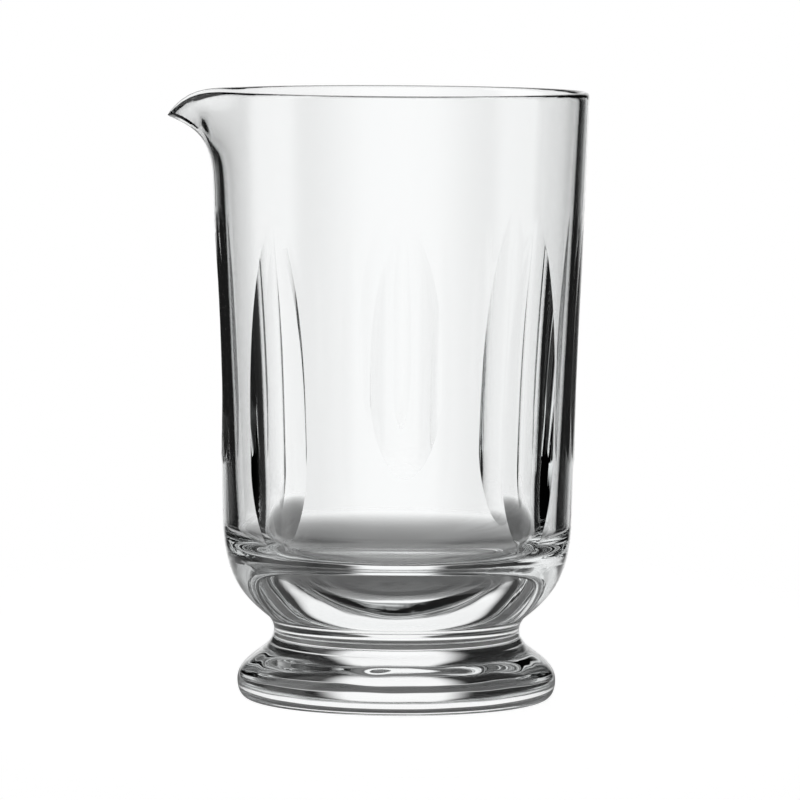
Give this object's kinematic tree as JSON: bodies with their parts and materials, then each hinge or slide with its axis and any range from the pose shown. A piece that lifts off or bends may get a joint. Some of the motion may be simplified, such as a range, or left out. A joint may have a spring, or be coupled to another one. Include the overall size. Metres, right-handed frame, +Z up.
{
  "type": "stemmed mixing glass",
  "caption": "Clear stirring glass for mixing drinks: tall fluted bowl with a pulled pouring lip on a short waisted stem and a heavy round foot.",
  "frame": {"origin": "centre of the flat underside of the foot, on the glass's own axis", "axes": "+Z up along the glass's axis, -X towards the pouring lip, -Y towards the viewer of the picture"},
  "size_m": [0.1107, 0.0996, 0.16],
  "materials": {
    "bowl_glass": "clear, polished, with ground and polished flutes",
    "stem_glass": "clear, fire polished",
    "foot_glass": "clear, fire polished"
  },
  "bodies": {
    "root": {"bowl": "bowl_glass", "stem": "stem_glass", "foot": "foot_glass"}
  },
  "joints": []
}
